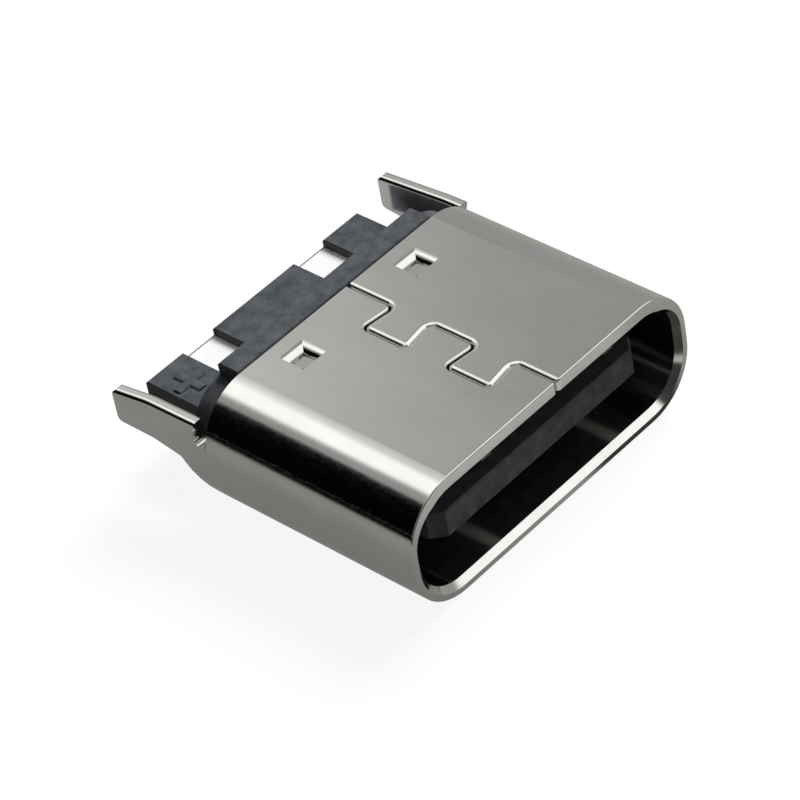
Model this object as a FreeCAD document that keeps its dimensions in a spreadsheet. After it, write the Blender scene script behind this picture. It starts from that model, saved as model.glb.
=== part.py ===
import FreeCAD, Part
import os
import Sketcher

# Two-wire reversible charging socket: a rolled metal shell with two side ears, and a black
# moulding that carries the tongue, two stamped terminals and their solder pads.
# Frame while drawing: x across the mouth, y from the mouth plane to the rear, z up from the
# middle of the tongue. The finished pieces are then moved so that the origin lies under the
# middle of the socket, on the plane that its flat bottom stands on.

DIMENSIONS = {
    # mouth and rolled sheet
    "mouth_width": 8.34,
    "mouth_height": 2.6,
    "mouth_corner": 1.05,
    "sheet": 0.3,
    "shell_length": 5.93,
    "lead_in": 0.14,
    "rim_round": 0.03,
    # dovetailed seam along the top
    "seam_runs": 5,
    "seam_gap": 0.03,
    "seam_middle": -0.11,
    "seam_swing": 0.45,
    "seam_lead": 0.08,
    "seam_lean": 0.06,
    "seam_corner": 0.16,
    "seam_roll": 0.13,
    "seam_burr": 0.05,
    # two lanced tabs that lock the shell to the moulding
    "lock_left": -2.03,
    "lock_right": 1.62,
    "lock_size": 0.46,
    "lock_setback": 0.64,
    "lock_drop": 0.07,
    "lock_gap": 0.02,
    "lock_slit": 0.09,
    "lock_roll": 0.26,
    # side ears behind the shell
    "ear_length": 2.61,
    "ear_top": 1.06,
    "ear_top_fall": 0.06,
    "ear_low": 0.16,
    "ear_tip_lift": 0.3,
    "ear_tip_cut": 0.07,
    "ear_tip_round": 0.14,
    "left_straight": 1.67,
    "right_straight": 0.72,
    "left_splay": 0.12,
    "right_splay": -0.06,
    "ear_bend": 1.5,
    "ear_edge": 0.1,
    "relief_width": 0.37,
    "relief_lean": 0.15,
    "relief_floor": 0.43,
    "relief_round": 0.155,
    "web_reach": 0.87,
    "web_clear": 0.05,
    # moulding inside and behind the shell
    "fit_gap": 0.02,
    "base_depth": 1.08,
    "flange_length": 0.65,
    "flange_floor": 0.2,
    "bar_clear": 0.06,
    "bar_chamfer": 0.03,
    "shelf_inset": 0.71,
    "shelf_length": 2.19,
    "shelf_top": 0.29,
    "shelf_bottom": 0.45,
    "edge_break": 0.03,
    # tongue
    "tongue_width": 6.69,
    "tongue_thick": 0.7,
    "tongue_setback": 0.34,
    "tongue_chamfer": 0.05,
    "tongue_corner": 0.3,
    "notch_start": 1.65,
    "notch_length": 1.15,
    "notch_depth": 0.32,
    # stamped terminals
    "pad_centre": 1.81,
    "pad_width": 0.96,
    "strip": 0.18,
    "power_contact": -1.25,
    "ground_contact": 2.75,
    "finger_width": 0.3,
    "finger_thick": 0.15,
    "finger_setback": 0.3,
    "finger_dip": 0.05,
    "root_depth": 0.15,
    "bridge_length": 0.6,
    # how far a cutting outline runs past what it cuts
    "overrun": 0.1,
}

# Places that several pieces share, as formulas of the sheet
HALF_WIDTH = "(dims.mouth_width / 2 + dims.sheet)"
HALF_HEIGHT = "(dims.mouth_height / 2 + dims.sheet)"
INNER_HALF_WIDTH = "(dims.mouth_width / 2)"
INNER_HALF_HEIGHT = "(dims.mouth_height / 2)"
PLUG_HALF_WIDTH = "(dims.mouth_width / 2 - dims.fit_gap)"
PLUG_HALF_HEIGHT = "(dims.mouth_height / 2 - dims.fit_gap)"
BASE_FRONT = "(dims.shell_length - dims.base_depth)"
FLANGE_REAR = "(dims.shell_length + dims.flange_length)"
SHELF_REAR = "(dims.shell_length + dims.flange_length + dims.shelf_length)"
LOCK_REAR = "(dims.shell_length - dims.lock_setback)"
LOCK_FRONT = "(dims.shell_length - dims.lock_setback - dims.lock_size)"
EAR_TIP = "(dims.shell_length + dims.ear_length)"
WEB_END = "(dims.shell_length + dims.web_reach)"
FINGER_TIP = "(dims.tongue_setback + dims.finger_setback)"
FORK_ROOT = "(dims.shell_length - dims.base_depth + dims.root_depth)"
BRIDGE_REAR = "(dims.shell_length - dims.base_depth + dims.root_depth + dims.bridge_length)"

doc = FreeCAD.newDocument("usb_c_socket")
dims = doc.addObject("Spreadsheet::Sheet", "dims")
for row, (alias, number) in enumerate(DIMENSIONS.items(), start=1):
    dims.set(f"A{row}", alias)
    dims.set(f"B{row}", str(number))
    dims.setAlias(f"B{row}", alias)
doc.recompute()


def new_body(name):
    """A body that stands in the socket's own frame."""
    body = doc.addObject("PartDesign::Body", name)
    body.Label = name
    body.setExpression("Placement.Base.y", f"-{SHELF_REAR} / 2")
    body.setExpression("Placement.Base.z", HALF_HEIGHT)
    return body


def new_sketch(body, name, role, offset="0"):
    """A sketch on one of the body's own planes, moved along that plane's normal."""
    plane = next(item for item in body.Origin.OriginFeatures if item.Role == role)
    sketch = body.newObject("Sketcher::SketchObject", name)
    sketch.AttachmentSupport = [(plane, "")]
    sketch.MapMode = "FlatFace"
    sketch.setExpression("AttachmentOffset.Base.z", offset)
    return sketch


def across_mouth(body, name, depth):
    """A sketch across the mouth at the given depth; its normal points out of the mouth."""
    return new_sketch(body, name, "XZ_Plane", f"-{depth}")


def draw_outline(sketch, corners):
    """Close an outline through corners (across, up) or (across, up, radius), all formulas."""
    count = len(corners)
    start = FreeCAD.Vector(1, 0, 0)
    axis = FreeCAD.Vector(0, 0, 1)
    ring = [FreeCAD.Rotation(axis, 360 * k / count).multVec(start) for k in range(count)]
    lines = []
    for k in range(count):
        lines.append(sketch.addGeometry(Part.LineSegment(ring[k], ring[(k + 1) % count])))
    for one, other in zip(lines, lines[1:] + lines[:1]):
        sketch.addConstraint(Sketcher.Constraint("Coincident", one, 2, other, 1))
    for line, corner in zip(lines, corners):
        for kind, formula in zip(("DistanceX", "DistanceY"), corner):
            index = sketch.addConstraint(Sketcher.Constraint(kind, -1, 1, line, 1, 0.0))
            sketch.setExpression(f"Constraints[{index}]", formula)
    sketch.recompute()
    sketch.solve()
    for line, corner in zip(lines, corners):
        if len(corner) == 3:
            arc = sketch.GeometryCount
            sketch.fillet(line, 1, 0.02, True, True)
            index = sketch.addConstraint(Sketcher.Constraint("Radius", arc, 0.02))
            sketch.setExpression(f"Constraints[{index}]", corner[2])
    sketch.recompute()


def draw_box(sketch, left, right, low, high, radius=None):
    """A rectangle between four formulas, with its corners rounded if a radius is given."""
    corners = [(left, low), (right, low), (right, high), (left, high)]
    if radius:
        corners = [corner + (radius,) for corner in corners]
    draw_outline(sketch, corners)


def add_pad(body, sketch, name, length, reverse=False, centred=False):
    """Material over the sketch."""
    pad = body.newObject("PartDesign::Pad", name)
    pad.Profile = sketch
    pad.setExpression("Length", length)
    pad.Reversed = reverse
    pad.Midplane = centred
    doc.recompute()
    return pad


def add_pocket(body, sketch, name, length, reverse=False, centred=False):
    """A cut over the sketch, which has to take something away."""
    before = body.Shape.Volume
    pocket = body.newObject("PartDesign::Pocket", name)
    pocket.Profile = sketch
    pocket.setExpression("Length", length)
    pocket.Reversed = reverse
    pocket.Midplane = centred
    doc.recompute()
    if body.Shape.Volume >= before:
        raise RuntimeError(f"{name} cuts nothing")
    return pocket


def soften(body, kind, name, size, picks):
    """Chamfer or fillet every edge whose pair of end points passes the test."""
    base = body.Tip
    edges = []
    for number, edge in enumerate(base.Shape.Edges, start=1):
        if picks(edge.Vertexes[0].Point, edge.Vertexes[-1].Point):
            edges.append(f"Edge{number}")
    feature = body.newObject(f"PartDesign::{kind}", name)
    feature.Base = (base, edges)
    feature.setExpression({"Chamfer": "Size", "Fillet": "Radius"}[kind], size)
    doc.recompute()
    if not edges or not feature.isValid():
        raise RuntimeError(f"{name} can't be made on {len(edges)} edges")
    return feature


def same(one, other):
    """Whether two lengths are equal, but for rounding."""
    return abs(one - other) < 1e-6


def build_shell():
    """Rolled tube, blanked ears, seam, lanced tabs and the coined edge of the mouth."""
    body = new_body("shell")

    tube = across_mouth(body, "tube_profile", "0")
    outer = "(dims.mouth_corner + dims.sheet)"
    draw_box(tube, f"-{HALF_WIDTH}", HALF_WIDTH, f"-{HALF_HEIGHT}", HALF_HEIGHT, outer)
    draw_box(tube, f"-{INNER_HALF_WIDTH}", INNER_HALF_WIDTH, f"-{INNER_HALF_HEIGHT}",
             INNER_HALF_HEIGHT, "dims.mouth_corner")
    add_pad(body, tube, "tube", "dims.shell_length", reverse=True)

    flares = []
    for name, depth, flare in (("lead_in_front", "(-dims.overrun)", "(dims.lead_in + dims.overrun)"),
                               ("lead_in_rear", "(dims.lead_in + dims.overrun)", "(-dims.overrun)")):
        flares.append(across_mouth(body, name, depth))
        reach = f"({INNER_HALF_WIDTH} + {flare})"
        low = f"-({INNER_HALF_HEIGHT} + {flare})"
        high = f"{INNER_HALF_HEIGHT} - dims.overrun"
        low_corner = f"dims.mouth_corner + {flare}"
        high_corner = "dims.mouth_corner - dims.overrun"
        draw_outline(flares[-1], [
            (f"-{reach}", low, low_corner),
            (reach, low, low_corner),
            (reach, high, high_corner),
            (f"-{reach}", high, high_corner),
        ])
    lead_in = body.newObject("PartDesign::SubtractiveLoft", "mouth_lead_in")
    lead_in.Profile = flares[0]
    lead_in.Sections = [flares[1]]
    lead_in.Ruled = True
    doc.recompute()

    roof = float(dims.mouth_height) / 2 + float(dims.sheet)
    side = float(dims.mouth_width) / 2 + float(dims.sheet)

    def on_rim(at):
        return same(at.y, 0) and (same(abs(at.x), side) or same(abs(at.z), roof))

    soften(body, "Fillet", "mouth_rim", "dims.rim_round",
           lambda one, other: on_rim(one) and on_rim(other))

    strips = new_sketch(body, "ear_plan", "XY_Plane", "-(dims.ear_low + dims.overrun)")
    tip = f"({EAR_TIP} + dims.overrun)"
    for sign, hand in (("", "right"), ("-", "left")):
        bend = f"(dims.shell_length + dims.{hand}_straight)"
        splay = f"dims.{hand}_splay * ({tip} - {bend})"
        draw_outline(strips, [
            (f"{sign}{INNER_HALF_WIDTH}", "dims.shell_length"),
            (f"{sign}{INNER_HALF_WIDTH}", bend, "dims.ear_bend + dims.sheet"),
            (f"{sign}({INNER_HALF_WIDTH} + {splay})", tip),
            (f"{sign}({HALF_WIDTH} + {splay})", tip),
            (f"{sign}{HALF_WIDTH}", bend, "dims.ear_bend"),
            (f"{sign}{HALF_WIDTH}", "dims.shell_length"),
        ])
    add_pad(body, strips, "ear_strips", "dims.ear_low + dims.ear_top + 2 * dims.overrun")

    trough = across_mouth(body, "web_profile", "dims.shell_length")
    draw_outline(trough, [
        (f"-{HALF_WIDTH}", "0"),
        (f"-{HALF_WIDTH}", f"-{HALF_HEIGHT}", outer),
        (HALF_WIDTH, f"-{HALF_HEIGHT}", outer),
        (HALF_WIDTH, "0"),
        (INNER_HALF_WIDTH, "0"),
        (INNER_HALF_WIDTH, f"-{INNER_HALF_HEIGHT}", "dims.mouth_corner"),
        (f"-{INNER_HALF_WIDTH}", f"-{INNER_HALF_HEIGHT}", "dims.mouth_corner"),
        (f"-{INNER_HALF_WIDTH}", "0"),
    ])
    add_pad(body, trough, "web_trough", "dims.web_reach + dims.overrun", reverse=True)

    blank = new_sketch(body, "ear_outline", "YZ_Plane")
    above = f"({HALF_HEIGHT} + dims.overrun)"
    beyond = f"({EAR_TIP} + 2 * dims.overrun)"
    draw_outline(blank, [
        ("dims.shell_length", above),
        ("dims.shell_length", "dims.relief_floor", "dims.relief_round"),
        ("dims.shell_length + dims.relief_width", "dims.relief_floor", "dims.relief_round"),
        ("dims.shell_length + dims.relief_width - dims.relief_lean", "dims.ear_top"),
        (f"{EAR_TIP} - dims.ear_tip_cut", "dims.ear_top - dims.ear_top_fall"),
        (EAR_TIP, "dims.ear_top - dims.ear_top_fall - dims.ear_tip_cut"),
        (EAR_TIP, "dims.ear_tip_lift - dims.ear_low", "dims.ear_tip_round"),
        (WEB_END, "-dims.ear_low", "dims.ear_tip_round"),
        ("dims.shell_length", f"-({INNER_HALF_HEIGHT} - dims.web_clear)"),
        ("dims.shell_length", f"-{above}"),
        (beyond, f"-{above}"),
        (beyond, above),
    ])
    add_pocket(body, blank, "ear_blanking", f"2 * {HALF_WIDTH} + 2 * dims.ear_length", centred=True)
    crest = float(dims.ear_top) - float(dims.ear_top_fall) - float(dims.edge_break)
    behind = float(dims.shell_length) + float(dims.relief_width) - float(dims.relief_lean) - 1e-6
    soften(body, "Fillet", "ear_top_edges", "dims.ear_edge",
           lambda one, other: min(one.z, other.z) > crest and min(one.y, other.y) > behind
           and not same(one.y, other.y))

    seam = new_sketch(body, "seam_path", "XY_Plane", above)
    draw_outline(seam, seam_corners(int(dims.seam_runs)))
    add_pocket(body, seam, "seam", "dims.sheet + 2 * dims.overrun")
    swing = float(dims.seam_swing)
    for hand, half_gap in (("roll", float(dims.seam_gap) / 2), ("burr", -float(dims.seam_gap) / 2)):
        runs = [float(dims.seam_middle) + half_gap + swing, float(dims.seam_middle) + half_gap - swing]

        def beside_seam(at):
            return same(at.z, roof) and any(same(at.x, run) for run in runs)

        soften(body, "Fillet", f"seam_{hand}_edges", f"dims.seam_{hand}",
               lambda one, other: beside_seam(one) and beside_seam(other) and same(one.x, other.x))

    windows = new_sketch(body, "lock_windows", "XY_Plane", above)
    for middle in ("dims.lock_left", "dims.lock_right"):
        draw_box(windows, f"{middle} - dims.lock_size / 2", f"{middle} + dims.lock_size / 2",
                 LOCK_FRONT, LOCK_REAR)
    add_pocket(body, windows, "lock_shears", "dims.sheet + 2 * dims.overrun")
    rear = float(dims.shell_length) - float(dims.lock_setback)
    front = rear - float(dims.lock_size)
    flanks = [float(item) + float(dims.lock_size) / 2 for item in (dims.lock_left, dims.lock_right)]

    def drawn(at):
        return same(at.z, roof) and (
            same(at.y, rear) or same(at.y, front) and any(same(at.x, flank) for flank in flanks))

    soften(body, "Fillet", "lock_draw", "dims.lock_roll",
           lambda one, other: drawn(one) and drawn(other)
           and (same(one.y, other.y) or same(one.x, other.x)))

    for name, middle in (("left_lock", "dims.lock_left"), ("right_lock", "dims.lock_right")):
        tab_middle = f"{middle} + dims.lock_gap / 2 - dims.lock_slit / 2"
        tab = new_sketch(body, f"{name}_side", "YZ_Plane", tab_middle)
        free_end = f"({LOCK_REAR} - dims.lock_slit)"
        draw_outline(tab, [
            (LOCK_FRONT, HALF_HEIGHT),
            (free_end, f"{HALF_HEIGHT} - dims.lock_drop"),
            (free_end, f"{INNER_HALF_HEIGHT} - dims.lock_drop"),
            (LOCK_FRONT, INNER_HALF_HEIGHT),
        ])
        add_pad(body, tab, name, "dims.lock_size - dims.lock_gap - dims.lock_slit", centred=True)
    return body


def seam_corners(runs):
    """The thin zigzag outline of the seam: up one side of the gap and back down the other."""
    left = []
    right = []
    half_gap = "dims.seam_gap / 2"
    for jog in range(1, runs):
        turn = 1 if jog % 2 else -1
        depth = f"{jog} * dims.shell_length / dims.seam_runs - dims.seam_lead"
        for swing in (turn, -turn):
            place = f"dims.seam_middle + {swing} * dims.seam_swing"
            lean = f"{depth} + {turn * swing} * dims.seam_lean"
            for bank, sign in ((left, "-"), (right, "+")):
                bank.append((f"{place} {sign} {half_gap}",
                             f"{lean} {sign} {turn} * {half_gap}",
                             f"dims.seam_corner {sign} {swing} * {half_gap}"))
    first = "dims.seam_middle + dims.seam_swing"
    last = first if runs % 2 else "dims.seam_middle - dims.seam_swing"
    front = "-dims.overrun"
    rear = "dims.shell_length + dims.overrun"
    climb = [(f"{first} - {half_gap}", front)] + left + [(f"{last} - {half_gap}", rear)]
    descent = [(f"{first} + {half_gap}", front)] + right + [(f"{last} + {half_gap}", rear)]
    return climb + descent[::-1]


def build_terminal(name, centre, contact):
    """One stamped terminal: solder pad, bridge to its contact, and a fork over the tongue."""
    body = new_body(name)
    pad_half = "dims.pad_width / 2"

    tail = new_sketch(body, f"{name}_tail", "XY_Plane")
    draw_box(tail, f"{centre} - {pad_half}", f"{centre} + {pad_half}", FORK_ROOT, SHELF_REAR)
    add_pad(body, tail, f"{name}_solder_strip", "dims.strip", centred=True)

    bridge = new_sketch(body, f"{name}_bridge_plan", "XY_Plane")
    draw_box(bridge, centre, f"{contact} + dims.finger_width / 2", FORK_ROOT, BRIDGE_REAR)
    add_pad(body, bridge, f"{name}_bridge", "dims.strip", centred=True)

    fork = new_sketch(body, f"{name}_fork_side", "YZ_Plane", contact)
    face = "dims.tongue_thick / 2"
    core = "dims.strip / 2"
    inner = f"({face} - dims.finger_thick)"
    outer_run = [
        (FINGER_TIP, inner),
        (FINGER_TIP, f"{face} - dims.finger_dip"),
        (f"{FINGER_TIP} + 2 * dims.finger_dip", face),
        (FORK_ROOT, face),
        (f"{FORK_ROOT} + {face} - {core}", core),
        (BRIDGE_REAR, core),
    ]
    lower_run = [(along, f"-({up})") for along, up in reversed(outer_run)]
    crotch = f"{FORK_ROOT} - dims.finger_thick / 2"
    throat = [(crotch, f"-{inner}"), (f"{crotch} + {inner}", "0"), (crotch, inner)]
    draw_outline(fork, outer_run + lower_run + throat)
    add_pad(body, fork, f"{name}_fork", "dims.finger_width", centred=True)
    return body


def build_housing(terminals):
    """The black moulding, shot round the two terminals."""
    body = new_body("housing_blank")
    pad_half = "dims.pad_width / 2"
    shelf_half = "(dims.mouth_width / 2 - dims.shelf_inset)"
    bar_half = "(dims.mouth_width / 2 - dims.mouth_corner)"

    plug = across_mouth(body, "base_profile", BASE_FRONT)
    draw_box(plug, f"-{PLUG_HALF_WIDTH}", PLUG_HALF_WIDTH, f"-{PLUG_HALF_HEIGHT}",
             PLUG_HALF_HEIGHT, "dims.mouth_corner - dims.fit_gap")
    add_pad(body, plug, "base", "dims.base_depth + dims.flange_length", reverse=True)

    sides = across_mouth(body, "flange_sides", "dims.shell_length")
    for side in ("", "-"):
        draw_outline(sides, [
            (f"{side}{shelf_half}", "dims.flange_floor"),
            (f"{side}{HALF_WIDTH}", "dims.flange_floor"),
            (f"{side}{HALF_WIDTH}", f"-{HALF_HEIGHT}"),
            (f"{side}{shelf_half}", f"-{HALF_HEIGHT}"),
        ])
    add_pocket(body, sides, "ear_clearance", "dims.flange_length + dims.overrun", reverse=False)

    bar = across_mouth(body, "bar_profile", "(dims.shell_length + dims.bar_clear)")
    draw_box(bar, f"-{bar_half}", bar_half, "0", HALF_HEIGHT)
    add_pad(body, bar, "top_bar", "dims.flange_length - dims.bar_clear", reverse=True)

    tongue = across_mouth(body, "tongue_profile", "dims.tongue_setback")
    draw_box(tongue, "-dims.tongue_width / 2", "dims.tongue_width / 2",
             "-dims.tongue_thick / 2", "dims.tongue_thick / 2")
    add_pad(body, tongue, "tongue", f"{BASE_FRONT} - dims.tongue_setback", reverse=True)

    shelf = new_sketch(body, "shelf_plan", "XY_Plane", "-dims.shelf_bottom")
    draw_box(shelf, f"-{shelf_half}", shelf_half, FLANGE_REAR, SHELF_REAR)
    add_pad(body, shelf, "shelf", "dims.shelf_top + dims.shelf_bottom")

    slots = new_sketch(body, "pad_slots_plan", "XY_Plane", "dims.shelf_top")
    for centre in ("-dims.pad_centre", "dims.pad_centre"):
        draw_box(slots, f"{centre} - {pad_half}", f"{centre} + {pad_half}",
                 FLANGE_REAR, f"{SHELF_REAR} + dims.overrun")
    add_pocket(body, slots, "pad_slots", "dims.shelf_top + dims.strip / 2")

    recesses = new_sketch(body, "lock_recess_plan", "XY_Plane", PLUG_HALF_HEIGHT)
    for middle in ("dims.lock_left", "dims.lock_right"):
        draw_box(recesses, f"{middle} - dims.lock_size / 2", f"{middle} + dims.lock_size / 2",
                 f"{BASE_FRONT} - dims.overrun", LOCK_REAR)
    add_pocket(body, recesses, "lock_recesses", "dims.lock_drop + dims.lock_gap")

    notches = new_sketch(body, "latch_notch_plan", "XY_Plane", "dims.tongue_thick / 2")
    for side in ("", "-"):
        draw_outline(notches, [
            (f"{side}(dims.tongue_width / 2 - dims.notch_depth)", "dims.notch_start"),
            (f"{side}(dims.tongue_width / 2 + dims.overrun)", "dims.notch_start"),
            (f"{side}(dims.tongue_width / 2 + dims.overrun)", "dims.notch_start + dims.notch_length"),
            (f"{side}(dims.tongue_width / 2 - dims.notch_depth)", "dims.notch_start + dims.notch_length"),
        ])
    add_pocket(body, notches, "latch_notches", "dims.tongue_thick")

    tip = float(dims.tongue_setback)
    side = float(dims.tongue_width) / 2
    face = float(dims.tongue_thick) / 2
    soften(body, "Chamfer", "tongue_corners", "dims.tongue_corner",
           lambda one, other: same(one.y, tip) and same(other.y, tip)
           and same(abs(one.x), side) and same(one.x, other.x))
    reach = tip + float(dims.tongue_corner) + 1e-6
    soften(body, "Chamfer", "tongue_lead_in", "dims.tongue_chamfer",
           lambda one, other: one.y < reach and other.y < reach
           and same(abs(one.z), face) and same(one.z, other.z))

    roof = float(dims.mouth_height) / 2 + float(dims.sheet)
    soften(body, "Chamfer", "bar_edges", "dims.bar_chamfer",
           lambda one, other: same(one.z, roof) and same(other.z, roof))
    deck = float(dims.shelf_top)
    wall = float(dims.shell_length) + float(dims.flange_length) + 1e-6
    soften(body, "Chamfer", "block_edges", "dims.edge_break",
           lambda one, other: same(one.z, deck) and same(other.z, deck) and max(one.y, other.y) > wall)

    doc.recompute()
    moulded = body
    for terminal in terminals:
        cut = doc.addObject("Part::Cut", f"housing_round_{terminal.Name}")
        cut.Base = moulded
        cut.Tool = terminal
        moulded = cut
    moulded.Label = "housing"
    doc.recompute()
    return moulded


shell = build_shell()
power = build_terminal("power_terminal", "-dims.pad_centre", "dims.power_contact")
ground = build_terminal("ground_terminal", "dims.pad_centre", "dims.ground_contact")
housing = build_housing([power, ground])
doc.recompute()

for item in doc.Objects:
    if "Invalid" in item.State or "Error" in item.State:
        raise RuntimeError(f"{item.Name} failed to build: {item.State}")

pieces = [shell, housing, power, ground]
for piece in pieces:
    if piece.Shape.isNull() or not piece.Shape.isValid():
        raise RuntimeError(f"{piece.Label} has no sound shape")

os.makedirs("parts", exist_ok=True)
for piece in pieces:
    piece.Shape.exportStep(f"parts/{piece.Label}.step")
    box = piece.Shape.BoundBox
    print(piece.Label, len(piece.Shape.Solids), "solid", round(piece.Shape.Volume, 4), "mm3",
          [round(v, 3) for v in (box.XMin, box.XMax, box.YMin, box.YMax, box.ZMin, box.ZMax)])
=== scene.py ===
"""Looks of a small two-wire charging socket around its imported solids: a black moulding shot round
two tinned strips, held in a nickel-plated shell that is rolled up from sheet."""

import math

import bpy
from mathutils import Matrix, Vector


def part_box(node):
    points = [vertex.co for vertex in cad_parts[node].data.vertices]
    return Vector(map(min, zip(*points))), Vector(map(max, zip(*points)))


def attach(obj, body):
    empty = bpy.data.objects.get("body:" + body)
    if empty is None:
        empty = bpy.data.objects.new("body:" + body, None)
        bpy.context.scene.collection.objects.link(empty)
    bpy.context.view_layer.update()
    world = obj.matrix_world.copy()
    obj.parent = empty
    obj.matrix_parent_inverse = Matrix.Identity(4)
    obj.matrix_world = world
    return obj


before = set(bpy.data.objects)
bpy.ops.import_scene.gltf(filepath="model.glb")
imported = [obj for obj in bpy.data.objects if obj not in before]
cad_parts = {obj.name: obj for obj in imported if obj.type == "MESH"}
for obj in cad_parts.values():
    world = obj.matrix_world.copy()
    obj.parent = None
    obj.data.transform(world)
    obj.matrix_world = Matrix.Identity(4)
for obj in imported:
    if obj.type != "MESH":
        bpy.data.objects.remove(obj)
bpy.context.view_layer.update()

# Contact strips
# Two strips stamped from copper alloy and tinned. They are laid in the mould first, and each ends at
# the rear in a wide pad where a wire is soldered. The very end of each pad carries a dark band of
# painted shade, which stands in for the shade on its rear edge.

MM = 0.001
GRAIN_DETAIL = 3.0
PATCH_DETAIL = 2.0
NOISE_ROUGHNESS = 0.6
GRAIN_IN_HEIGHT = 0.7


def wire(tree, source, target):
    """Joins an output to an input."""
    tree.links.new(source, target)


def math_node(tree, operation, *sources):
    """A sum on sockets or plain numbers."""
    step = tree.nodes.new("ShaderNodeMath")
    step.operation = operation
    for socket, source in zip(step.inputs, sources):
        if isinstance(source, float):
            socket.default_value = source
        else:
            wire(tree, source, socket)
    return step.outputs["Value"]


def grain_group():
    """Shader group: a fine grain and slow patches, as masks and as one height."""
    group = bpy.data.node_groups.new("surface_grain", "ShaderNodeTree")
    face = group.interface
    for name, value in (("Grain Size", 0.05), ("Patch Size", 1.0), ("Stretch", 1.0)):
        face.new_socket(name, in_out="INPUT", socket_type="NodeSocketFloat").default_value = value
    for name in ("Grain", "Patches", "Height"):
        face.new_socket(name, in_out="OUTPUT", socket_type="NodeSocketFloat")
    nodes = group.nodes
    given = nodes.new("NodeGroupInput")
    result = nodes.new("NodeGroupOutput")
    place = nodes.new("ShaderNodeTexCoord")
    ratios = nodes.new("ShaderNodeCombineXYZ")
    ratios.inputs["X"].default_value = 1.0
    ratios.inputs["Z"].default_value = 1.0
    wire(group, given.outputs["Stretch"], ratios.inputs["Y"])
    spread = nodes.new("ShaderNodeVectorMath")
    spread.operation = "MULTIPLY"
    wire(group, place.outputs["Object"], spread.inputs[0])
    wire(group, ratios.outputs["Vector"], spread.inputs[1])
    noises = (("Grain", "Grain Size", GRAIN_DETAIL), ("Patches", "Patch Size", PATCH_DETAIL))
    masks = {}
    for name, size, detail in noises:
        noise = nodes.new("ShaderNodeTexNoise")
        noise.inputs["Detail"].default_value = detail
        noise.inputs["Roughness"].default_value = NOISE_ROUGHNESS
        wire(group, spread.outputs["Vector"], noise.inputs["Vector"])
        scale = math_node(group, "DIVIDE", 1.0 / MM, given.outputs[size])
        wire(group, scale, noise.inputs["Scale"])
        masks[name] = noise.outputs["Fac"]
        wire(group, masks[name], result.inputs[name])
    height = math_node(group, "MULTIPLY_ADD", masks["Grain"], GRAIN_IN_HEIGHT, masks["Patches"])
    wire(group, height, result.inputs["Height"])
    return group


surface_grain = grain_group()


def spread_between(tree, source, low, high, start=0.3, end=0.7):
    """Takes the range from start to end, as a rule a mask's middle, to the one from low to high."""
    ramp = tree.nodes.new("ShaderNodeMapRange")
    for name, value in (("From Min", start), ("From Max", end), ("To Min", low), ("To Max", high)):
        ramp.inputs[name].default_value = value
    wire(tree, source, ramp.inputs["Value"])
    return ramp.outputs["Result"]


def finish_material(name, tones, roughness, grain_size, patch_size, bump, stretch=1.0, metallic=0.0):
    """A material whose colour and gloss drift between two values, with its grain as relief. The
    sizes of grain, patches and relief are in millimetres."""
    made = bpy.data.materials.new(name)
    made.use_nodes = True
    tree = made.node_tree
    shader = tree.nodes["Principled BSDF"]
    shader.inputs["Metallic"].default_value = metallic
    texture = tree.nodes.new("ShaderNodeGroup")
    texture.node_tree = surface_grain
    texture.inputs["Grain Size"].default_value = grain_size
    texture.inputs["Patch Size"].default_value = patch_size
    texture.inputs["Stretch"].default_value = stretch
    tint = tree.nodes.new("ShaderNodeMix")
    tint.name = "tint"
    tint.data_type = "RGBA"
    tint.inputs["A"].default_value = (*tones[0], 1.0)
    tint.inputs["B"].default_value = (*tones[1], 1.0)
    wire(tree, spread_between(tree, texture.outputs["Patches"], 0.0, 1.0), tint.inputs["Factor"])
    wire(tree, tint.outputs["Result"], shader.inputs["Base Color"])
    gloss = spread_between(tree, texture.outputs["Grain"], *roughness)
    wire(tree, gloss, shader.inputs["Roughness"])
    relief = tree.nodes.new("ShaderNodeBump")
    relief.inputs["Strength"].default_value = 1.0
    relief.inputs["Distance"].default_value = bump * MM
    wire(tree, texture.outputs["Height"], relief.inputs["Height"])
    wire(tree, relief.outputs["Normal"], shader.inputs["Normal"])
    return made


def object_axes(tree, unit=False):
    """The three parts of the object's own coordinates, or of their direction."""
    place = tree.nodes.new("ShaderNodeTexCoord")
    source = place.outputs["Object"]
    if unit:
        direction = tree.nodes.new("ShaderNodeVectorMath")
        direction.operation = "NORMALIZE"
        wire(tree, source, direction.inputs[0])
        source = direction.outputs["Vector"]
    axes = tree.nodes.new("ShaderNodeSeparateXYZ")
    wire(tree, source, axes.inputs["Vector"])
    return axes.outputs


def dress(node, material):
    """Puts a finish on a solid that keeps its own mesh."""
    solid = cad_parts[node]
    for one in solid.material_slots:
        one.material = material


bright_tin = finish_material(
    "bright_tin",
    tones=((0.93, 0.93, 0.92), (0.98, 0.98, 0.97)),
    roughness=(0.44, 0.56),
    grain_size=0.03,
    patch_size=0.4,
    bump=0.002,
    metallic=0.3,
)
STRIP_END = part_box("power_terminal")[1][1]
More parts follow.
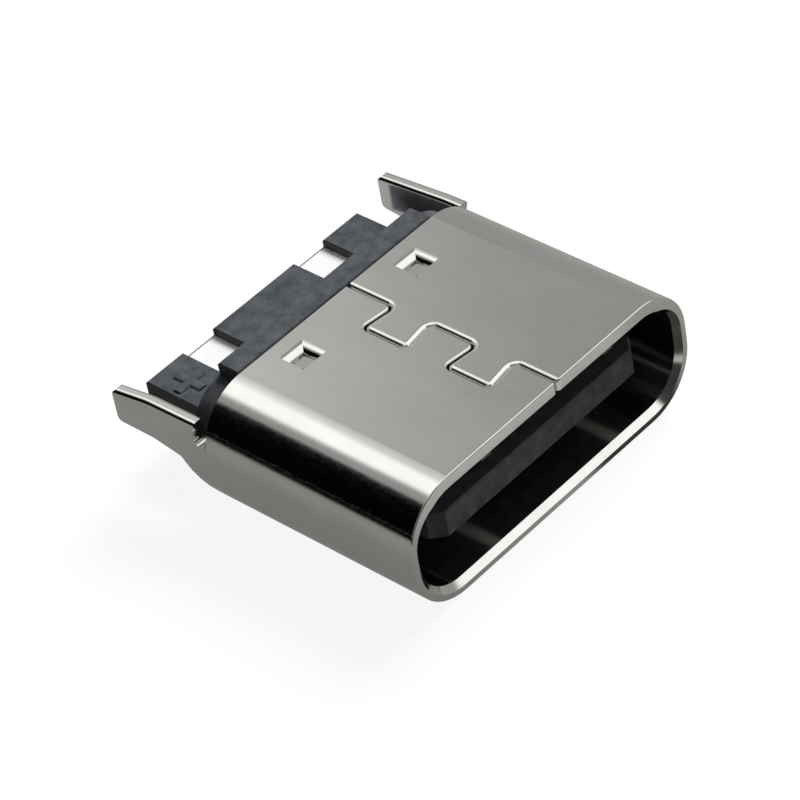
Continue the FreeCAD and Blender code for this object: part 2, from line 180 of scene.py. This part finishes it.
# Painted shade: the last few hundredths of a millimetre of each strip are coloured dark to stand for
# the shade on the pads' rear edge.
EDGE_SHADE_FROM = STRIP_END - 0.05 * MM
EDGE_SHADE_FULL = STRIP_END - 0.03 * MM
EDGE_SHADE_TONE = (0.20, 0.19, 0.18, 1.0)
tree = bright_tin.node_tree
edge_shade = tree.nodes.new("ShaderNodeMix")
edge_shade.data_type = "RGBA"
edge_shade.inputs["B"].default_value = EDGE_SHADE_TONE
edge_shade_mask = spread_between(tree, object_axes(tree)["Y"], 0.0, 1.0, EDGE_SHADE_FROM, EDGE_SHADE_FULL)
wire(tree, edge_shade_mask, edge_shade.inputs["Factor"])
wire(tree, tree.nodes["tint"].outputs["Result"], edge_shade.inputs["A"])
wire(tree, edge_shade.outputs["Result"], tree.nodes["Principled BSDF"].inputs["Base Color"])
dress("power_terminal", bright_tin)
dress("ground_terminal", bright_tin)

# Moulding
# One block of glass-filled plastic, shot round the strips: the tongue and plug at the front, the
# shelf with three raised blocks at the rear. The mould's eroded walls leave a matt, mottled skin.

MATT_SPECULAR = 0.15
moulded_plastic = finish_material(
    "moulded_plastic",
    tones=((0.050, 0.054, 0.060), (0.094, 0.101, 0.111)),
    roughness=(0.46, 0.62),
    grain_size=0.08,
    patch_size=0.32,
    bump=0.008,
)
shader = moulded_plastic.node_tree.nodes["Principled BSDF"]
shader.inputs["Specular IOR Level"].default_value = MATT_SPECULAR
dress("housing", moulded_plastic)

# Plus sign
# Two rounded strokes that stand up from the left block, moulded with it from a cross cut in the
# mould. They mark the block beside the positive wire's pad.

SIGN_PLACE = (-2.93 * MM, 3.535 * MM, 1.885 * MM)
SIGN_LENGTH = 0.8 * MM
STROKE_WIDTH = 0.24 * MM
STROKE_HEIGHT = 0.06 * MM
STROKES = 2
PROFILE_SIDES = 24


def sign_tree():
    """Strokes through one middle, each swept from a round profile, turned by equal steps."""
    tree = bpy.data.node_groups.new("moulded_sign", "GeometryNodeTree")
    face = tree.interface
    face.new_socket("Geometry", in_out="OUTPUT", socket_type="NodeSocketGeometry")
    numbers = (
        ("Strokes", "NodeSocketInt", STROKES),
        ("Length", "NodeSocketFloat", SIGN_LENGTH),
        ("Width", "NodeSocketFloat", STROKE_WIDTH),
        ("Height", "NodeSocketFloat", STROKE_HEIGHT),
    )
    for name, kind, value in numbers:
        face.new_socket(name, in_out="INPUT", socket_type=kind).default_value = value
    face.new_socket("Material", in_out="INPUT", socket_type="NodeSocketMaterial")
    nodes = tree.nodes
    given = nodes.new("NodeGroupInput")
    result = nodes.new("NodeGroupOutput")

    def vector(**parts):
        joined = nodes.new("ShaderNodeCombineXYZ")
        for name, value in parts.items():
            wire(tree, value, joined.inputs[name])
        return joined.outputs["Vector"]

    half_length = math_node(tree, "MULTIPLY", given.outputs["Length"], 0.5)
    half_width = math_node(tree, "MULTIPLY", given.outputs["Width"], 0.5)
    path = nodes.new("GeometryNodeCurvePrimitiveLine")
    wire(tree, vector(X=math_node(tree, "MULTIPLY", half_length, -1.0)), path.inputs["Start"])
    wire(tree, vector(X=half_length), path.inputs["End"])
    ring = nodes.new("GeometryNodeCurvePrimitiveCircle")
    ring.inputs["Resolution"].default_value = PROFILE_SIDES
    ring.inputs["Radius"].default_value = 1.0
    profile = nodes.new("GeometryNodeTransform")
    wire(tree, ring.outputs["Curve"], profile.inputs["Geometry"])
    scale = vector(X=half_width, Y=given.outputs["Height"], Z=half_length)
    wire(tree, scale, profile.inputs["Scale"])
    stroke = nodes.new("GeometryNodeCurveToMesh")
    stroke.inputs["Fill Caps"].default_value = True
    wire(tree, path.outputs["Curve"], stroke.inputs["Curve"])
    wire(tree, profile.outputs["Geometry"], stroke.inputs["Profile Curve"])
    middles = nodes.new("GeometryNodePoints")
    wire(tree, given.outputs["Strokes"], middles.inputs["Count"])
    order = nodes.new("GeometryNodeInputIndex")
    half_turns = math_node(tree, "MULTIPLY", order.outputs["Index"], math.pi)
    turn = math_node(tree, "DIVIDE", half_turns, given.outputs["Strokes"])
    copies = nodes.new("GeometryNodeInstanceOnPoints")
    wire(tree, middles.outputs["Points"], copies.inputs["Points"])
    wire(tree, stroke.outputs["Mesh"], copies.inputs["Instance"])
    wire(tree, vector(Z=turn), copies.inputs["Rotation"])
    solid = nodes.new("GeometryNodeRealizeInstances")
    wire(tree, copies.outputs["Instances"], solid.inputs["Geometry"])
    smooth = nodes.new("GeometryNodeSetShadeSmooth")
    wire(tree, solid.outputs["Geometry"], smooth.inputs["Geometry"])
    coat = nodes.new("GeometryNodeSetMaterial")
    wire(tree, smooth.outputs["Geometry"], coat.inputs["Geometry"])
    wire(tree, given.outputs["Material"], coat.inputs["Material"])
    wire(tree, coat.outputs["Geometry"], result.inputs["Geometry"])
    return tree


def grown_mesh(name, tree, inputs, place):
    """The plain mesh that a node tree makes, moved to its place."""
    seed = bpy.data.objects.new(f"{name}_seed", bpy.data.meshes.new(f"{name}_seed"))
    bpy.context.scene.collection.objects.link(seed)
    grow = seed.modifiers.new("grow", "NODES")
    grow.node_group = tree
    for item in tree.interface.items_tree:
        if item.in_out == "INPUT" and item.name in inputs:
            grow[item.identifier] = inputs[item.name]
    bpy.context.view_layer.update()
    ready = seed.evaluated_get(bpy.context.evaluated_depsgraph_get())
    mesh = bpy.data.meshes.new_from_object(ready)
    mesh.name = name
    bpy.data.objects.remove(seed)
    for vertex in mesh.vertices:
        vertex.co += Vector(place)
    made = bpy.data.objects.new(name, mesh)
    bpy.context.scene.collection.objects.link(made)
    return made


plus_sign = grown_mesh("plus_sign", sign_tree(), {"Material": moulded_plastic}, SIGN_PLACE)
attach(plus_sign, "root")

# Shell
# Thin steel sheet, blanked, rolled round the moulding and closed by a dovetailed seam on top, then
# plated with nickel. Lock tabs lanced from the sheet hold the moulding.

nickel_plate = finish_material(
    "nickel_plate",
    tones=((0.636, 0.634, 0.606), (0.688, 0.688, 0.662)),
    roughness=(0.10, 0.15),
    grain_size=0.06,
    patch_size=0.9,
    bump=0.0004,
    stretch=0.4,
    metallic=1.0,
)
dress("shell", nickel_plate)

# Studio
# A white table under a plain white surround, with one large lamp above on the right and a weak one
# low before the mouth. Two more things are seen only in the part's gloss: a mat on the table that
# glows with painted light and shade in grey tones, and a tent of bright panels, a dark flag and grey
# walls.

AMBIENT = 0.06
TABLE_HALF = 2.0
TABLE_DROP = 0.04 * MM
TABLE_OWN = 0.90
TABLE_GREY = (0.11, 0.11, 0.11, 1.0)


def background_share(tree):
    """1 for the rays that see the background, straight or in gloss and glass, else 0."""
    path = tree.nodes.new("ShaderNodeLightPath")
    share = path.outputs["Is Camera Ray"]
    for ray in ("Is Glossy Ray", "Is Transmission Ray"):
        share = math_node(tree, "MAXIMUM", share, path.outputs[ray])
    return share


def staged(name, points, faces, material):
    """A piece of the studio."""
    mesh = bpy.data.meshes.new(name)
    mesh.from_pydata(points, [], faces)
    mesh.materials.append(material)
    made = bpy.data.objects.new(name, mesh)
    bpy.context.scene.collection.objects.link(made)
    return made


def seen_in_gloss_only(card):
    """Hides a card from everything but mirrored rays."""
    card.visible_camera = False
    card.visible_diffuse = False
    card.visible_transmission = False
    card.visible_volume_scatter = False
    card.visible_shadow = False


def square(half, drop):
    """The points and the face of a level square below the part."""
    corners = ((-half, -half), (half, -half), (half, half), (-half, half))
    return [(x, y, -drop) for x, y in corners], [(0, 1, 2, 3)]


def shining_material(name):
    """A material that only shines, with its node tree and its shader."""
    made = bpy.data.materials.new(name)
    made.use_nodes = True
    tree = made.node_tree
    tree.nodes.remove(tree.nodes["Principled BSDF"])
    shine = tree.nodes.new("ShaderNodeEmission")
    wire(tree, shine.outputs["Emission"], tree.nodes["Material Output"].inputs["Surface"])
    return made, tree, shine


surround = bpy.data.worlds.new("surround")
surround.use_nodes = True
bpy.context.scene.world = surround
tree = surround.node_tree
sky = tree.nodes["Background"]
sky.inputs["Color"].default_value = (1.0, 1.0, 1.0, 1.0)
strength = spread_between(tree, background_share(tree), AMBIENT, 1.0, start=0.0, end=1.0)
wire(tree, strength, sky.inputs["Strength"])

# The table shows the background's white as its own, and a little grey on top takes the shadow.
white_table, tree, shine = shining_material("white_table")
strength = spread_between(tree, background_share(tree), 0.0, TABLE_OWN, start=0.0, end=1.0)
wire(tree, strength, shine.inputs["Strength"])
matt = tree.nodes.new("ShaderNodeBsdfDiffuse")
matt.inputs["Color"].default_value = TABLE_GREY
both = tree.nodes.new("ShaderNodeAddShader")
wire(tree, matt.outputs["BSDF"], both.inputs[0])
wire(tree, shine.outputs["Emission"], both.inputs[1])
wire(tree, both.outputs["Shader"], tree.nodes["Material Output"].inputs["Surface"])
staged("table", *square(TABLE_HALF, TABLE_DROP), white_table)


def soft_step(tree, value, start, end):
    """Rises smoothly from 0 at start to 1 at end, or falls if end is less."""
    step = tree.nodes.new("ShaderNodeMapRange")
    step.interpolation_type = "SMOOTHSTEP"
    step.inputs["From Min"].default_value = min(start, end)
    step.inputs["From Max"].default_value = max(start, end)
    step.inputs["To Min"].default_value = 0.0 if start < end else 1.0
    step.inputs["To Max"].default_value = 1.0 if start < end else 0.0
    wire(tree, value, step.inputs["Value"])
    return step.outputs["Result"]


def soft_span(tree, value, low, high, edge):
    """1 from low to high and 0 beyond, over a soft edge round each."""
    half = edge / 2
    rise = soft_step(tree, value, low - half, low + half)
    fall = soft_step(tree, value, high + half, high - half)
    return math_node(tree, "MULTIPLY", rise, fall)


def patchwork(tree, across, along, ground, patches):
    """A tone laid over with soft-edged patches, each by its spans on two measures."""
    tone = None
    for name, left, right, low, high, edge, bright in patches:
        column = soft_span(tree, across, left, right, edge)
        row = soft_span(tree, along, low, high, edge)
        blend = tree.nodes.new("ShaderNodeMix")
        blend.label = name
        blend.inputs["A"].default_value = ground
        blend.inputs["B"].default_value = bright
        if tone is not None:
            wire(tree, tone, blend.inputs["A"])
        wire(tree, math_node(tree, "MULTIPLY", row, column), blend.inputs["Factor"])
        tone = blend.outputs["Result"]
    return tone


# The mat lies close round the part, and reaches as far as the tent. It glows by itself, and its
# tones are painted light and shade: a painted reflection of the lit table round the part. Its
# patches are given in millimetres. It is a little darker at the shell's foot, a painted shadow where
# a part shades what it stands on.
TENT_RADIUS = 0.5
MAT_DROP = 0.02 * MM
MAT_COLOUR = (1.0, 0.975, 0.945, 1.0)
MAT_GROUND = 0.50
MAT_PATCHES = (
    # name, x from, to, y from, to, edge, brightness
    ("left", -300.0, -1.5, -300.0, 300.0, 7.0, 0.33),
    ("right", 4.7, 300.0, -300.0, 300.0, 2.6, 0.42),
    ("front", -2.6, 5.3, -8.6, -6.7, 1.2, 0.64),
    # Painted shadow of the part on the table before the mouth, seen in the gloss.
    ("mouth_shade", 1.2, 4.4, -6.4, -4.0, 1.0, 0.07),
    ("far_front", -300.0, 6.0, -300.0, -9.2, 1.6, 0.07),
    ("far_left", -300.0, -16.5, -300.0, 300.0, 9.0, 0.0),
)
# Painted shadow round the shell's foot, darkest at the part and fading out over FOOT_REACH
# millimetres.
FOOT_MIDDLE = (0.0, -1.4)
FOOT_HALF = (4.5, 3.0)
FOOT_REACH = 4.0
FOOT_SHADE = 0.72
painted_light_and_shade_mat, tree, shine = shining_material("painted_light_and_shade_mat")
sides = object_axes(tree)
across = math_node(tree, "DIVIDE", sides["X"], MM)
along = math_node(tree, "DIVIDE", sides["Y"], MM)
squares = []
for measure, middle, half in zip((across, along), FOOT_MIDDLE, FOOT_HALF):
    off = math_node(tree, "ABSOLUTE", math_node(tree, "SUBTRACT", measure, middle))
    off = math_node(tree, "MAXIMUM", math_node(tree, "SUBTRACT", off, half), 0.0)
    squares.append(math_node(tree, "MULTIPLY", off, off))
gap = math_node(tree, "SQRT", math_node(tree, "ADD", *squares))
foot_shade = spread_between(tree, gap, FOOT_SHADE, 1.0, start=0.0, end=FOOT_REACH)
tone = patchwork(tree, across, along, MAT_GROUND, MAT_PATCHES)
wire(tree, math_node(tree, "MULTIPLY", tone, foot_shade), shine.inputs["Strength"])
shine.inputs["Color"].default_value = MAT_COLOUR
seen_in_gloss_only(staged("mat", *square(TENT_RADIUS, MAT_DROP), painted_light_and_shade_mat))

# The tent is a ball round the part. Its patches are given by bearing (0 straight behind the part,
# positive to its right) and height, in degrees.
TENT_RINGS = 24
WALL = 0.385
TENT_PATCHES = (
    # name, bearing from, to, height from, to, edge, brightness
    ("falloff", -10.0, 40.5, 24.0, 75.0, 11.0, 0.75),
    ("rear_panel", -17.0, 26.0, 38.0, 75.0, 16.0, 1.45),
    ("front_panel", 70.0, 165.0, 26.0, 80.0, 12.0, 1.42),
    ("top_panel", -200.0, 200.0, 68.0, 100.0, 12.0, 1.4),
    ("flag", -78.0, -34.0, -30.0, 46.5, 4.0, 0.0),
    ("front_left", -200.0, -112.0, -30.0, 42.0, 8.0, 0.05),
    ("front_edge", 171.0, 200.0, -30.0, 42.0, 8.0, 0.05),
)


def ball(radius, rings):
    """The points and faces of a ball, with half as many rings as sides."""
    points = []
    faces = []
    sides = 2 * rings
    for ring in range(rings + 1):
        up = math.pi * (ring / rings - 0.5)
        flat = radius * math.cos(up)
        for turn in range(sides):
            around = math.pi * turn / rings
            points.append((flat * math.cos(around), flat * math.sin(around), radius * math.sin(up)))
    for ring in range(rings):
        low, high = ring * sides, (ring + 1) * sides
        for turn in range(sides):
            following = (turn + 1) % sides
            faces.append((low + turn, high + turn, high + following, low + following))
    return points, faces


tent_cloth, tree, shine = shining_material("tent_cloth")
axes = object_axes(tree, unit=True)
bearing = math_node(tree, "DEGREES", math_node(tree, "ARCTAN2", axes["X"], axes["Y"]))
height = math_node(tree, "DEGREES", math_node(tree, "ARCSINE", axes["Z"]))
wire(tree, patchwork(tree, bearing, height, WALL, TENT_PATCHES), shine.inputs["Strength"])
seen_in_gloss_only(staged("tent", *ball(TENT_RADIUS, TENT_RINGS), tent_cloth))


def lamp(name, bearing, height, distance, size, power):
    """A square lamp that looks at the part and isn't mirrored in it."""
    light = bpy.data.lights.new(name, "AREA")
    light.size = size
    light.energy = power
    made = bpy.data.objects.new(name, light)
    around, up = math.radians(bearing), math.radians(height)
    place = Vector((math.sin(around) * math.cos(up), math.cos(around) * math.cos(up), math.sin(up)))
    made.location = place * distance
    made.rotation_euler = (-place).to_track_quat("-Z", "Y").to_euler()
    made.visible_glossy = False
    bpy.context.scene.collection.objects.link(made)


lamp("key_lamp", bearing=82.0, height=46.0, distance=0.42, size=0.20, power=2.75)
lamp("mouth_lamp", bearing=152.0, height=3.0, distance=0.42, size=0.16, power=0.8)

# Camera
# The photograph's own view: from the front left, well above, with a long lens.

CAMERA_PLACE = (-43.547 * MM, -49.579 * MM, 57.015 * MM)
CAMERA_TURN = (49.1212, 8.1322, -48.1792)
lens = bpy.data.cameras.new("camera")
lens.lens = 178.79
lens.sensor_width = 36.0
lens.clip_start = 0.005
lens.clip_end = 10.0
camera = bpy.data.objects.new("camera", lens)
camera.location = CAMERA_PLACE
camera.rotation_euler = [math.radians(angle) for angle in CAMERA_TURN]
bpy.context.scene.collection.objects.link(camera)
bpy.context.scene.camera = camera
bpy.context.scene.view_settings.view_transform = "Standard"
